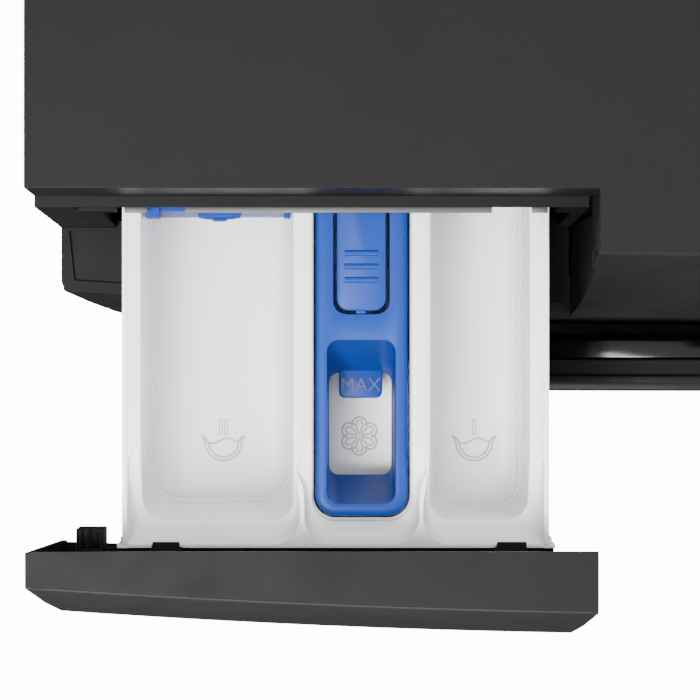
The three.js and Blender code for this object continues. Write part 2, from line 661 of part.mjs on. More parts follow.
piece("door_frame", doorFrame(), graphite);
piece("door_inner_ring", doorInnerRing(), blackGloss);
piece("door_cover", doorCover(), blackGloss);
piece("door_glass", doorGlass(), glass);
piece("door_hinge_leaf", doorHingeLeaf(), galvanised);
piece("door_hinge_bracket", doorHinge(), galvanised);
piece("door_latch_hook", doorLatchHook(), galvanised);
piece("door_lock", doorLock(), black);
piece("door_gasket", doorGasket(), rubberGrey);

piece("tub_front", tubFront(), greyPlastic);
piece("tub_rear", tubRear(), greyPlastic);
piece("front_counterweight", frontCounterweight(), concrete);
piece("top_counterweight", topCounterweight(), concrete);
piece("heater", heater(), stainless);
piece("motor", motorBody(), galvanised);
piece("drive_belt", driveBelt(), rubberBlack);
piece("motor_pulley", motorPulley(), stainless);
piece("drum_pulley", drumPulley(), stainless);
piece("drum_shell", drumShell(), stainless);
[0, 1, 2].forEach((i) => piece("drum_paddle_" + (i + 1), drumPaddle((i * 2 * Math.PI) / 3), trayWhite));
piece("drum_spider", drumSpider(), galvanised);
for (const [side, place] of [[-1, "left"], [1, "right"]]) {
  piece("tub_spring_" + place, tubSpring(side), stainless);
  piece("tub_damper_" + place, damper(side), black);
}

piece("drain_pump", drainPump(), black);
piece("drain_filter", drainFilter(), black);
piece("filter_flap", filterFlap(), graphite);
piece("inlet_valve", inletValve(), trayWhite);
piece("cord_gland", cordGland(), black);
piece("drain_outlet", drainOutlet(), black);
piece("program_knob", programKnob(), graphite);
["start_button", "option_button"].forEach((name, i) =>
  piece(name, pushButton(i), graphite));

// The origin is the centre of the footprint, at floor level.
const footprint = new THREE.Box3().setFromObject(machine);
machine.position.y = -(footprint.min.y + footprint.max.y) / 2;

export default machine;
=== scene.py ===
"""Front load washing machine with its detergent drawer open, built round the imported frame."""

import math

import bmesh
import bpy
from bpy.props import FloatProperty, FloatVectorProperty, IntProperty, PointerProperty
from mathutils import Matrix, Vector


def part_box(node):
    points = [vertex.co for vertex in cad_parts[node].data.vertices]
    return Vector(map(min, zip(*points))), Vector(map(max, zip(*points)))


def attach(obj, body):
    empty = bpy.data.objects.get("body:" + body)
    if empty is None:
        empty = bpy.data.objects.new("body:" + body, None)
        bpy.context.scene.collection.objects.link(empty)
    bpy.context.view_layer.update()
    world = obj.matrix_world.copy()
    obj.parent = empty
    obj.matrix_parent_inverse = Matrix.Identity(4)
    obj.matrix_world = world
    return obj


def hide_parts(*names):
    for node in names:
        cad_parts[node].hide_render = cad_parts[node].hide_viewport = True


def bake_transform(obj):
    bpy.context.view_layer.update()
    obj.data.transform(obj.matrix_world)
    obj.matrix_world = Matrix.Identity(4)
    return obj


bl_info = {
    "name": "Washing machine",
    "version": (1, 0, 0),
    "blender": (4, 5, 0),
    "location": "View3D > Sidebar > Washer",
    "description": "Builds a front load washing machine piece by piece round its frame",
    "category": "Add Mesh",
}

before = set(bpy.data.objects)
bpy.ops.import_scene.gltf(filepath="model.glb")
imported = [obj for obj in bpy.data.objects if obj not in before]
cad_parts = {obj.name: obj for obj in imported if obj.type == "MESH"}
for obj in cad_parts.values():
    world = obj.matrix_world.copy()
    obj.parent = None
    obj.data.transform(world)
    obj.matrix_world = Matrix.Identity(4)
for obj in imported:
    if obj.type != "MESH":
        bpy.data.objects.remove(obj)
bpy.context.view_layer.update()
MM = 0.001
# Y of the front datum: the worktop's rear edge lies 548 mm behind it.
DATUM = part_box("worktop")[1].y - 548 * MM
AXIS_Z = 440  # height of the drum's axis, in millimetres as every length below
BOW = 1.175e-4  # set-back of the bowed front, for each square millimetre of x
LEAN = math.radians(12)  # lean of the knob and the buttons


def place(x, y, z):
    """A point given in millimetres from the machine's middle, front datum and floor."""
    return Vector((x * MM, y * MM + DATUM, z * MM))


def measured(point):
    """A point's x, y and z in millimetres, as place takes them."""
    return point.x / MM, (point.y - DATUM) / MM, point.z / MM


def at_depth(y):
    """The frame's Y at a place in millimetres behind the front datum."""
    return y * MM + DATUM


# ---- sizes and colours -----------------------------------------------------------------
def length(name, description, default):
    return FloatProperty(name=name, description=description, default=default, unit="LENGTH")


def colour(name, description, default):
    return FloatVectorProperty(
        name=name, description=description, default=default, subtype="COLOR", min=0, max=1
    )


class WasherSizes(bpy.types.PropertyGroup):
    """Sizes of the fine shapes that the frame leaves open."""

    scoop_depth: length("Scoop depth", "Dip of the tray round the pockets' front ends", 0.0095)
    fillet: length("Pocket fillet", "Rounding between a pocket's walls and its floor", 0.0075)
    corner: length("Pocket corner", "Corner radius of the tray's pockets at the rim", 0.0092)
    floor_corner: length("Floor corner", "Corner radius of the pockets' floors", 0.0125)
    icon_line: length("Icon line", "Width of the raised lines on the pocket floors", 0.0008)
    door_steps: IntProperty(name="Door steps", description="Steps round the door's rings", default=144)
    camera_height: length("Camera height", "Height of the camera above the worktop", 0.85)


class WasherColours(bpy.types.PropertyGroup):
    """Colours of the finishes."""

    graphite: colour("Graphite", "Worktop, panels and drawer front", (0.0052, 0.0052, 0.0053))
    black: colour("Black", "Inner frame, clips and seals", (0.0016, 0.0016, 0.0017))
    tray: colour("Tray", "Detergent tray", (0.58, 0.583, 0.59))
    insert: colour("Insert", "Softener insert, release tab and gate", (0.004, 0.026, 0.165))
    technical: colour("Technical", "Tub, base and ducts", (0.28, 0.29, 0.30))
    steel: colour("Steel", "Zinc coated and stainless steel", (0.60, 0.61, 0.62))
    rubber: colour("Rubber", "Door gasket", (0.13, 0.135, 0.14))
    floor: colour("Floor", "Studio floor", (0.93, 0.93, 0.93))


# ---- materials -------------------------------------------------------------------------
def noise(tree, scale, detail=2.0, stretch=(1, 1, 1)):
    """Noise on the object's own coordinates, in cycles for each metre."""
    coords = tree.nodes.get("Coordinates") or tree.nodes.new("ShaderNodeTexCoord")
    coords.name = "Coordinates"
    mapping = tree.nodes.new("ShaderNodeMapping")
    mapping.inputs["Scale"].default_value = stretch
    texture = tree.nodes.new("ShaderNodeTexNoise")
    texture.inputs["Scale"].default_value = scale
    texture.inputs["Detail"].default_value = detail
    tree.links.new(coords.outputs["Object"], mapping.inputs["Vector"])
    tree.links.new(mapping.outputs["Vector"], texture.inputs["Vector"])
    return texture.outputs["Fac"]


def remap(tree, value, out_low, out_high, low=0.3, high=0.7):
    made = tree.nodes.new("ShaderNodeMapRange")
    for socket, number in zip(made.inputs[1:5], (low, high, out_low, out_high)):
        socket.default_value = number
    tree.links.new(value, made.inputs["Value"])
    return made.outputs["Result"]


FINISH = {}  # every material, by the key of its finish


def finish(key, name, base, rough, metal=0.0, mottle=0.06, patch=9, grain=1500, bump=0.1,
           stretch=(1, 1, 1), spread=0.06, **sockets):
    """A finish: a base colour in soft patches, a fine grain and an uneven roughness."""
    material = FINISH[key] = bpy.data.materials.new(name)
    material.use_nodes = True
    tree = material.node_tree
    shader = tree.nodes["Principled BSDF"]
    shader.inputs["Metallic"].default_value = metal
    for socket, value in sockets.items():
        shader.inputs[socket.replace("_", " ")].default_value = value
    mix = tree.nodes.new("ShaderNodeMix")
    mix.data_type = "RGBA"
    tree.links.new(remap(tree, noise(tree, patch, 4), 0, 1), mix.inputs["Factor"])
    mix.inputs[6].default_value = (*[c * (1 - mottle) for c in base], 1)
    mix.inputs[7].default_value = (*[min(1, c * (1 + mottle)) for c in base], 1)
    tree.links.new(mix.outputs[2], shader.inputs["Base Color"])
    uneven = remap(tree, noise(tree, patch * 5, 3), max(0, rough - spread), rough + spread)
    tree.links.new(uneven, shader.inputs["Roughness"])
    bumped = tree.nodes.new("ShaderNodeBump")
    bumped.inputs["Strength"].default_value = bump
    bumped.inputs["Distance"].default_value = 0.0002
    tree.links.new(noise(tree, grain, 3, stretch), bumped.inputs["Height"])
    tree.links.new(bumped.outputs["Normal"], shader.inputs["Normal"])


def make_finishes(c):
    """Every finish of the machine, by its slot in the record or by its own name."""
    dark = tuple(v * 0.6 for v in c.black)
    finish("graphite_plastic", "Graphite plastic", c.graphite, 0.5, bump=0.12,
           Specular_IOR_Level=0.07)
    finish("graphite_paint", "Graphite paint", c.graphite, 0.4, grain=900, bump=0.05,
           Specular_IOR_Level=0.09)
    finish("black_plastic", "Black plastic", c.black, 0.5, bump=0.2, Specular_IOR_Level=0.12)
    finish("black_gloss", "Black gloss", dark, 0.14, grain=300, bump=0.01, spread=0.03,
           Specular_IOR_Level=0.2)
    finish("tray_plastic", "Tray plastic", c.tray, 0.36, mottle=0.012, bump=0.04,
           Subsurface_Weight=0.05, Subsurface_Scale=0.002)
    finish("insert_plastic", "Insert plastic", c.insert, 0.42, mottle=0.03, bump=0.05,
           Specular_IOR_Level=0.1)
    finish("technical_plastic", "Technical plastic", c.technical, 0.6, bump=0.3)
    finish("galvanised_steel", "Zinc coated steel", c.steel, 0.42, 0.9, mottle=0.05, patch=60,
           grain=200)
    finish("stainless_steel", "Brushed stainless steel", c.steel, 0.26, 1, grain=400,
           stretch=(1, 0.02, 1), bump=0.12)
    finish("gasket_rubber", "Gasket rubber", c.rubber, 0.62, bump=0.25, grain=700)
    finish("black_rubber", "Black rubber", tuple(v * 1.6 for v in c.black), 0.75, bump=0.3)
    finish("counterweight_cast", "Cast counterweight", (0.14, 0.135, 0.13), 0.85, mottle=0.25,
           patch=30, grain=260, bump=0.8)
    finish("circuit_board", "Circuit board", (0.02, 0.13, 0.05), 0.3, mottle=0.3, patch=200)
    finish("door_glass", "Pressed glass", (0.92, 0.95, 0.95), 0.04, spread=0.01, bump=0.01,
           Transmission_Weight=0.96, IOR=1.5)
    finish("tray_relief", "Raised icons", tuple(v * 0.5 for v in c.tray), 0.5, bump=0.04)
    finish("insert_relief", "Raised letters", tuple(v * 0.45 for v in c.insert), 0.45, bump=0.04)
    # Painted shadow: a near black finish for the strip under the ledge, standing in for the shade the ledge
    # casts on the tray.
    finish("ledge_shadow_strip", "Ledge shadow strip", (0.03, 0.03, 0.031), 0.5, bump=0.05)
    finish("mark", "Pale print", (0.5, 0.51, 0.52), 0.45, bump=0.02)
    finish("floor", "Studio floor", c.floor, 0.9, mottle=0.005, patch=1, grain=60, bump=0.01,
           Emission_Color=(1, 1, 1, 1), Emission_Strength=10.0)


# ---- shaping ---------------------------------------------------------------------------
def finished(name, bm, material, body, replaces=(), sharp=35, ride=True):
    """Makes the piece's object from a bmesh and hangs it on its body."""
    bmesh.ops.remove_doubles(bm, verts=bm.verts[:], dist=1e-6)
    bmesh.ops.dissolve_degenerate(bm, edges=bm.edges[:], dist=1e-7)
    bmesh.ops.recalc_face_normals(bm, faces=bm.faces[:])
    mesh = bpy.data.meshes.new(name)
    bm.to_mesh(mesh)
    bm.free()
    mesh.polygons.foreach_set("use_smooth", [True] * len(mesh.polygons))
    mesh.set_sharp_from_angle(angle=math.radians(sharp))
    mesh.materials.append(FINISH[material])
    piece = bpy.data.objects.new(name, mesh)
    bpy.context.scene.collection.objects.link(piece)
    if ride:
        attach(piece, body)
    if replaces:
        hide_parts(*replaces)
    return piece


def cad_copy(cad_node):
    """A CAD node's shape as a bmesh with shared vertices and whole flat faces."""
    bm = bmesh.new()
    bm.from_mesh(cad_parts[cad_node].data)
    bmesh.ops.remove_doubles(bm, verts=bm.verts[:], dist=2e-6)
    bmesh.ops.recalc_face_normals(bm, faces=bm.faces[:])
    bmesh.ops.dissolve_limit(bm, angle_limit=math.radians(0.05), verts=bm.verts[:], edges=bm.edges[:])
    return bm


def round_edges(bm, radius, segments=3, angle=30, choose=None):
    """Bevels the edges that turn by more than the angle."""
    turned_edges = [
        e for e in bm.edges
        if len(e.link_faces) == 2 and e.calc_face_angle(0) > math.radians(angle)
        and (choose is None or choose(e))
    ]
    bmesh.ops.bevel(bm, geom=turned_edges, offset=radius * MM, offset_type="OFFSET", segments=segments,
                    profile=0.5, affect="EDGES", clamp_overlap=True, material=-1)
    return bm


def rounded(node, material, body, radius=0.6, segments=3, angle=30, edit=None, choose=None):
    """Shows a CAD node's shape with its edges rounded and, if asked, edited first."""
    bm = cad_copy(node)
    if edit:
        edit(bm)
    round_edges(bm, radius, segments, angle, choose)
    piece = finished(node + "_shell", bm, material, body, (node,), sharp=40)
    weighted = piece.modifiers.new("Even shading", "WEIGHTED_NORMAL")
    weighted.keep_sharp = True
    return piece


def smooth_copy(node, material, body):
    """Shows a CAD node's shape with smooth shading only."""
    return finished(node + "_shell", cad_copy(node), material, body, (node,), sharp=60)


def outline(x0, x1, y0, y1, radii, arc=10, side=26):
    """Points round a rectangle with round corners, from its front left corner on, always as many."""
    most = 0.48 * min(x1 - x0, y1 - y0)
    fl, fr, rr, rl = (min(r, most) for r in (radii if isinstance(radii, tuple) else [radii] * 4))
    corners = [
        (x0 + fl, y0 + fl, fl, 180), (x1 - fr, y0 + fr, fr, 270),
        (x1 - rr, y1 - rr, rr, 0), (x0 + rl, y1 - rl, rl, 90),
    ]
    points = []
    for i, (cx, cy, r, start) in enumerate(corners):
        for k in range(arc + 1):
            angle = math.radians(start + 90 * k / arc)
            points.append((cx + r * math.cos(angle), cy + r * math.sin(angle)))
        nx, ny, nr, n_start = corners[(i + 1) % 4]
        end = (nx + nr * math.cos(math.radians(n_start)), ny + nr * math.sin(math.radians(n_start)))
        last = points[-1]
        for k in range(1, side):
            points.append(tuple(a + (b - a) * k / side for a, b in zip(last, end)))
    return points


def loft(bm, loops, cap_start=False, cap_end=True):
    """Runs a skin through closed loops of points, each with as many, by extruding one face."""
    start = [bm.verts.new(place(*p)) for p in loops[0]]
    face = bm.faces.new(start)
    for loop in loops[1:]:
        made = bmesh.ops.extrude_discrete_faces(bm, faces=[face])["faces"][0]
        for v, p in zip(made.verts, loop):
            v.co = place(*p)
        face = made
    if not cap_end:
        bm.faces.remove(face)
    if cap_start:
        bm.faces.new(start)


def at_height(points, z):
    return [(x, y, z) for x, y in points]


def fill_flat(bm, loops):
    """Fills a flat region between an outer loop and the holes in it."""
    edges = []
    for loop in loops:
        verts = [bm.verts.new(place(*p)) for p in loop]
        edges += [bm.edges.new(pair) for pair in zip(verts, verts[1:] + verts[:1])]
    bmesh.ops.triangle_fill(bm, use_beauty=True, use_dissolve=False, edges=edges)


def block(bm, x0, x1, y0, y1, z0, z1, radius=0.0, segments=2):
    """A box between limits, with round edges if a radius is given."""
    low, high = place(x0, y0, z0), place(x1, y1, z1)
    made = bmesh.ops.create_cube(bm, size=1)["verts"]
    bmesh.ops.scale(bm, vec=high - low, verts=made)
    bmesh.ops.translate(bm, vec=(low + high) / 2, verts=made)
    if radius:
        edges = list({e for v in made for e in v.link_edges})
        bmesh.ops.bevel(bm, geom=edges, offset=radius * MM, segments=segments, profile=0.5,
                        affect="EDGES", clamp_overlap=True, material=-1)


def spin_profile(profile, steps=96, x=0.0, z=AXIS_Z, bm=None):
    """Spins a profile of (radius, y) about an axis along Y; off the axis it closes on itself."""
    whole = bm or bmesh.new()
    new = bmesh.new()
    ring = [new.verts.new((r * MM, y * MM + DATUM, 0)) for r, y in profile]
    loop = ring + ([ring[0]] if profile[0][0] > 0 else [])
    edges = [new.edges.new(pair) for pair in zip(loop, loop[1:])]
    bmesh.ops.spin(new, geom=ring + edges, cent=(0, 0, 0), axis=(0, 1, 0), angle=2 * math.pi,
                   steps=steps, use_merge=True, use_duplicate=False)
    bmesh.ops.remove_doubles(new, verts=new.verts[:], dist=1e-6)
    bmesh.ops.translate(new, vec=(x * MM, 0, z * MM), verts=new.verts[:])
    mesh = bpy.data.meshes.new("turned")
    new.to_mesh(mesh)
    new.free()
    whole.from_mesh(mesh)
    bpy.data.meshes.remove(mesh)
    return whole


def soften(profile, radius, steps=3):
    """Rounds the corners of a closed profile of points."""
    made = []
    for i, p in enumerate(profile):
        p, a, b = Vector(p), Vector(profile[i - 1]), Vector(profile[(i + 1) % len(profile)])
        into, out = (a - p), (b - p)
        cut = min(radius, into.length * 0.45, out.length * 0.45)
        if cut < 0.05 or abs(p.x) < 1e-6:
            made.append(tuple(p))
            continue
        start, end = p + into.normalized() * cut, p + out.normalized() * cut
        for k in range(steps + 1):
            t = k / steps
            made.append(tuple((1 - t) ** 2 * start + 2 * t * (1 - t) * p + t * t * end))
    return made


def rod(bm, points, radius, sides=8, cyclic=False, flatten=None):
    """Adds a round rod that follows the points; it can be pressed flat about a height."""
    curve = bpy.data.curves.new("rod", "CURVE")
    curve.dimensions = "3D"
    curve.bevel_depth = radius * MM
    curve.bevel_resolution = max(0, sides // 2 - 2)
    curve.use_fill_caps = True
    spline = curve.splines.new("POLY")
    spline.points.add(len(points) - 1)
    for p, co in zip(spline.points, points):
        p.co = (*place(*co), 1)
    spline.use_cyclic_u = cyclic
    holder = bpy.data.objects.new("rod", curve)
    mesh = bpy.data.meshes.new_from_object(holder)
    bpy.data.objects.remove(holder)
    bpy.data.curves.remove(curve)
    before = set(bm.verts)
    bm.from_mesh(mesh)
    bpy.data.meshes.remove(mesh)
    if flatten:
        height, share = flatten[0] * MM, flatten[1]
        for v in set(bm.verts) - before:
            v.co.z = height + (v.co.z - height) * share


def letters(bm, text, size, x, y, z, rise):
    """Adds raised generic lettering, read from above, centred on a point."""
    font = bpy.data.curves.new("letters", "FONT")
    font.body, font.size, font.extrude = text, size * MM, rise * MM
    font.align_x = font.align_y = "CENTER"
    font.resolution_u = 3
    holder = bpy.data.objects.new("letters", font)
    bpy.context.scene.collection.objects.link(holder)
    mesh = bpy.data.meshes.new_from_object(holder)
    bpy.data.objects.remove(holder)
    bpy.data.curves.remove(font)
    mesh.transform(Matrix.Translation(place(x, y, z)))
    bm.from_mesh(mesh)
    bpy.data.meshes.remove(mesh)


def ease(value, start, end):
    """0 before start, 1 after end, and a smooth step between them."""
    t = min(1, max(0, (value - start) / (end - start)))
    return t * t * (3 - 2 * t)


# ---- detergent drawer ------------------------------------------------------------------
RIM, FLOOR = 816, 766  # heights of the tray's rim and of its floors
POCKET_FRONT, POCKET_REAR = -96, 128
SCOOP_START = -60  # behind this the tray's top is flat
SCOOP_FRONT = -104.9
# In front of the datum: where the softener's scoop leaves its pocket, and the tip of the fork.
FORK_START, FORK_TIP = 62, 71.4
LAND_SHARE = 6.9  # how far the softener's scoop reaches over the land at the fork's tip
TRAY = (-263.7, -87.1, -106.4, 134)  # outside of the tray: left, right, front, rear
# Each pocket: its sides, how far each wall leans in at the floor (left, right, front), how far the
# scoop reaches beyond it (left, right) and the scoop's corner radii.
POCKETS = {
    "main": ((-256.8, -192.7), (0.3, 2.2, 6.2), (5.2, 2.45), (0.8, 11)),
    "softener": ((-185.6, -143.4), (1.5, 1.5, 3.0), (2.75, 2.75), (11, 11)),
    "prewash": ((-136.5, -94.3), (2.2, 0.3, 2.6), (2.45, 5.6), (11, 0.8)),
}


def scoop_edge(name, side, y):
    """How far the scoop's edge stands out from the pocket's side at a place along it."""
    reach = POCKETS[name][2][side]
    if reach > 4:  # against the tray's own rail
        return reach * ease(-y, 63, 69)
    if name == "softener":  # the land's whole width at the fork's tip, then along the thin wall
        return LAND_SHARE * ease(-y, FORK_START, FORK_TIP) + (reach - LAND_SHARE) * ease(-y, FORK_TIP, 84)
    return reach * ease(-y, FORK_TIP, 90)


def pocket_loops(name, sizes):
    """Loops of one pocket from the tray's top down to its floor."""
    (x0, x1), (lean_left, lean_right, lean_front), reach, radii = POCKETS[name]
    corner, floor_corner, fillet = (v / MM for v in (sizes.corner, sizes.floor_corner, sizes.fillet))
    deepest = sizes.scoop_depth / MM
    arc, side = 12, 40
    span = arc + side

    def ring(inset, r=corner, front=0.0, left=0.0, right=0.0):
        return outline(x0 + inset + left, x1 - inset - right, POCKET_FRONT + inset + front,
                       POCKET_REAR - inset, r, arc, side)

    base = ring(0)
    wide = outline(x0 - reach[0], x1 + reach[1], SCOOP_FRONT, POCKET_REAR,
                   (*radii, corner, corner), arc, side)
    outer = []
    for i, (near, far) in enumerate(zip(base, wide)):
        quarter, step = divmod(i, span)
        if quarter == 0 or (quarter == 1 and step <= arc):
            outer.append(far)
        elif near[1] > SCOOP_START:
            outer.append(near)
        else:
            start, target = (POCKET_FRONT + corner, SCOOP_FRONT + radii[0 if quarter == 3 else 1])
            y = SCOOP_START + (near[1] - SCOOP_START) * (target - SCOOP_START) / (start - SCOOP_START)
            out = scoop_edge(name, 1 if quarter == 1 else 0, y)
            outer.append((near[0] + (out if quarter == 1 else -out), y))

    def dip(y):
        return deepest * ease(-y, 65, 98)

    loops = [at_height(outer, RIM)]
    for t, share in ((0.02, 0.03), (0.04, 0.35), (0.08, 0.52), (0.16, 0.68), (0.3, 0.82), (0.5, 0.92),
                     (0.75, 0.98), (1, 1)):
        mixed = [(a[0] + (b[0] - a[0]) * t, a[1] + (b[1] - a[1]) * t) for a, b in zip(outer, base)]
        loops.append([(x, y, RIM - dip(y) * share) for x, y in mixed])
    loops.append([(x, y, RIM - 0.12 - dip(y)) for x, y in ring(0.2)])
    loops.append([(x, y, RIM - 0.6 - dip(y)) for x, y in ring(0.5)])
    if name == "softener":
        loops.append([(x, y, RIM - 1.2 - dip(y)) for x, y in ring(0.55)])
        loops.append([(x, y, RIM - 1.5 - dip(y)) for x, y in ring(0.8, front=0.7)])
    walls = dict(front=lean_front, left=lean_left, right=lean_right)
    loops.append(at_height(ring(0.6, floor_corner, **walls), FLOOR + fillet + 1.5))
    loops.append(at_height(ring(1.1, floor_corner, **walls), FLOOR + fillet + 1.2))
    for k in range(6):
        angle = math.radians(90 * k / 5)
        inset = 1.1 + fillet * (1 - math.cos(angle))
        loops.append(at_height(ring(inset, floor_corner, **walls), FLOOR + fillet * (1 - math.sin(angle))))
    return loops


def arc_points(cx, cy, r, start, end, z, steps=16):
    angles = [math.radians(start + (end - start) * k / steps) for k in range(steps + 1)]
    return [(cx + r * math.cos(a), cy + r * math.sin(a), z) for a in angles]


def bowl_icon(bm, cx, bars, line):
    """A bowl with a wave in it, below one or two upright bars."""
    cy, z = -64.6, FLOOR
    r, wall, flare, brim_rise = 8.0, 1.5, 1.4, 3
    press = (z, 0.9)
    for gap in (0, wall):
        edge = cy + brim_rise - gap * 0.7
        brim = [(cx - r - flare + gap, edge, z), *arc_points(cx, cy, r - gap, 180, 360, z, 20),
                (cx + r + flare - gap, edge, z)]
        rod(bm, brim, line, 6, flatten=press)
    for side in (-1, 1):
        tip = [(cx + side * (r + flare), cy + brim_rise, z), (cx + side * (r - 0.1), cy + 2, z)]
        rod(bm, tip, line, 6, flatten=press)
    wave = []
    for k in range(21):
        u = k / 10 - 1
        swell = 1.3 * math.sin(math.pi * (u + 0.25)) * (1 - 0.4 * u * u)
        wave.append((cx + (r - 1) * u, cy + 0.6 + swell, z))
    rod(bm, wave, line, 6, flatten=press)
    for k in range(bars):
        x = cx + (k - (bars - 1) / 2) * 2.4
        low, high = cy + 3.6, cy + 10.2
        bar = [(x - 0.6, low, z), (x - 0.6, high, z), (x + 0.6, high, z), (x + 0.6, low, z)]
        rod(bm, bar, line * 0.8, 6, cyclic=True, flatten=press)


def flower_icon(bm, cx, cy, line):
    """Six drop shaped petals with a scalloped outline round them."""
    press = (FLOOR, 0.9)
    for k in range(6):
        turn = math.radians(60 * k + 30)
        ux, uy = math.cos(turn), math.sin(turn)
        petal = []
        for j in range(16):
            t = 2 * math.pi * j / 16
            along = 1.2 + 5.6 * (1 - math.cos(t)) / 2
            across = 1.9 * math.sin(t) * (0.35 + 0.65 * (1 - math.cos(t)) / 2)
            petal.append((cx + ux * along - uy * across, cy + uy * along + ux * across, FLOOR))
        rod(bm, petal, line * 0.8, 6, cyclic=True, flatten=press)
        centre = (cx + 5.0 * ux, cy + 5.0 * uy)
        degrees = math.degrees(turn)
        rod(bm, arc_points(*centre, 3.3, degrees - 104, degrees + 104, FLOOR, 12), line, 6, flatten=press)


class WASHER_OT_tray(bpy.types.Operator):
    """Detergent tray: three pockets with scoops at their front ends, rails, flange and icons"""

    bl_idname = "washer.tray"
    bl_label = "Detergent tray"

    def execute(self, context):
        sizes = context.scene.washer_sizes
        bm = bmesh.new()
        holes = []
        for name in POCKETS:
            loops = pocket_loops(name, sizes)
            loft(bm, loops)
            holes.append(loops[0])

        def skin(inset, z):
            x0, x1, y0, y1 = TRAY
            points = outline(x0 + inset, x1 - inset, y0 + inset, y1 - inset, max(0.3, 1.6 - inset), 4, 6)
            return at_height(points, z)

        fill_flat(bm, [skin(0.4, RIM), *holes])
        loft(bm, [skin(0.4, RIM), skin(0.1, RIM - 0.15), skin(0, RIM - 0.5), skin(0.3, 764),
                  skin(1.2, 762)])
        line = sizes.icon_line / MM / 2
        icons = bmesh.new()
        bowl_icon(icons, -225, 2, line)
        bowl_icon(icons, -114.9, 1, line)
        flower_icon(icons, -165.3, -61.8, line)
        finished("tray_icons", icons, "tray_relief", "drawer")
        finished("tray_shell", bm, "tray_plastic", "drawer", ("drawer_tray",), sharp=32)
        rails = bmesh.new()
        for x0, x1 in ((-264.2, -262.1), (-88.7, -86.6)):
            block(rails, x0, x1, -105, 134, 806, RIM + 0.5, 0.35)
        for x0, x1 in ((-266.4, -262), (-88.8, -84)):
            block(rails, x0, x1, -106.5, -104.6, 776, RIM + 0.1, 0.4)
            block(rails, x0 + 0.6, x1 - 0.6, -105, -102.6, 777, RIM - 8, 0.3)
        for x in (-188.8, -140.3):
            block(rails, x - 0.35, x + 0.35, -58, 133, RIM - 1, RIM + 0.15, 0.12, 1)
        finished("tray_rails", rails, "tray_plastic", "drawer", sharp=32)
        return {"FINISHED"}


